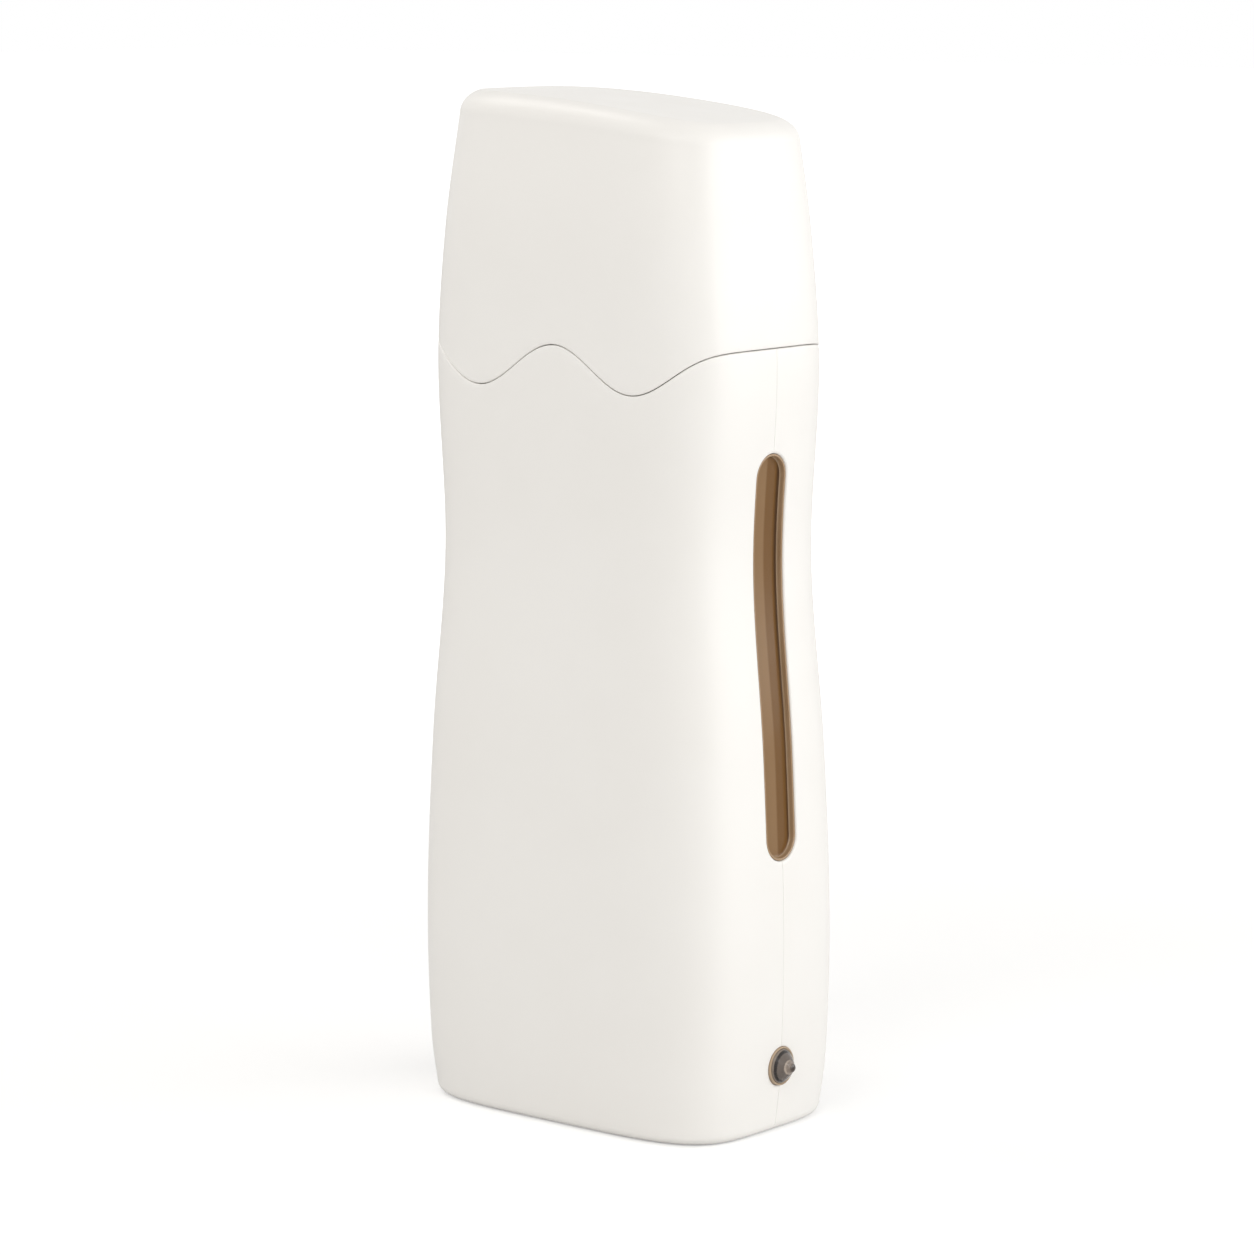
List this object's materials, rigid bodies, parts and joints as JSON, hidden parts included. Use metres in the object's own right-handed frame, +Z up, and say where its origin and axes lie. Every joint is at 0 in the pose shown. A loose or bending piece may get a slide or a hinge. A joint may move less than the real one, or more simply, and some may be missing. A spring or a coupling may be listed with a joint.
{
  "type": "roll on wax heater",
  "caption": "Hand-held roll-on wax warmer with a waisted shell, a level window, a pilot lamp and a lift-off cap over a removable roller cartridge.",
  "frame": {"origin": "middle of the base on the table, where the seam plane meets the front's middle line", "axes": "+X towards the side with the level window and the pilot lamp, -Y towards the front, +Z up along the cartridge"},
  "size_m": [0.0797, 0.0482, 0.1951],
  "materials": {
    "shell_white": "satin",
    "collar_white": "satin",
    "liner_nylon": "matte",
    "plate_aluminium": "rolled",
    "heater_ceramic": "matte",
    "spring_steel": "brushed",
    "fuse_ceramic": "matte",
    "thermostat_steel": "satin",
    "screw_steel": "zinc plated",
    "window_brown": "polished",
    "lamp_smoke": "polished",
    "bezel_beige": "satin",
    "bulb_glass": "polished",
    "nut_black": "matte",
    "inlet_black": "matte",
    "contact_brass": "nickel plated",
    "board_green": "satin",
    "component_mix": "satin",
    "lead_brown": "satin",
    "lead_blue": "satin",
    "lead_red": "satin",
    "lead_grey": "satin",
    "foot_rubber": "matte",
    "bottle_clear": "satin",
    "wax_amber": "glossy",
    "head_white": "satin",
    "roller_white": "satin"
  },
  "bodies": {
    "housing": {"front_shell": "shell_white", "rear_shell": "shell_white", "neck_collar": "collar_white", "chamber_liner": "liner_nylon", "heat_plate": "plate_aluminium", "ptc_heater": "heater_ceramic", "ptc_clip": "spring_steel", "thermal_fuse": "fuse_ceramic", "thermostat": "thermostat_steel", "plate_screws": "screw_steel", "window_lens": "window_brown", "lamp_lens": "lamp_smoke", "lamp_bezel": "bezel_beige", "lamp_bulb": "bulb_glass", "lamp_nut": "nut_black", "inlet_body": "inlet_black", "inlet_pins": "contact_brass", "control_board": "board_green", "board_components": "component_mix", "board_screws": "screw_steel", "live_lead": "lead_brown", "neutral_lead": "lead_blue", "switched_lead": "lead_red", "heater_lead": "lead_red", "return_lead": "lead_blue", "lamp_leads": "lead_grey", "housing_screws": "screw_steel", "rubber_feet": "foot_rubber"},
    "cartridge": {"cartridge_bottle": "bottle_clear", "cartridge_wax": "wax_amber", "roller_head": "head_white"},
    "roller": {"roller": "roller_white"},
    "cap": {"cap": "shell_white"}
  },
  "joints": [
    {"name": "cartridge_lift", "type": "slide", "parent": "housing", "child": "cartridge", "axis": [0, 0, 1], "range_m": [0, 0.13]},
    {"name": "roller_spin", "type": "hinge", "parent": "cartridge", "child": "roller", "pos_m": [0, 0, 0.168], "axis": [1, 0, 0], "continuous": true},
    {"name": "cap_lift", "type": "slide", "parent": "cartridge", "child": "cap", "axis": [0, 0, 1], "range_m": [0, 0.06]}
  ]
}
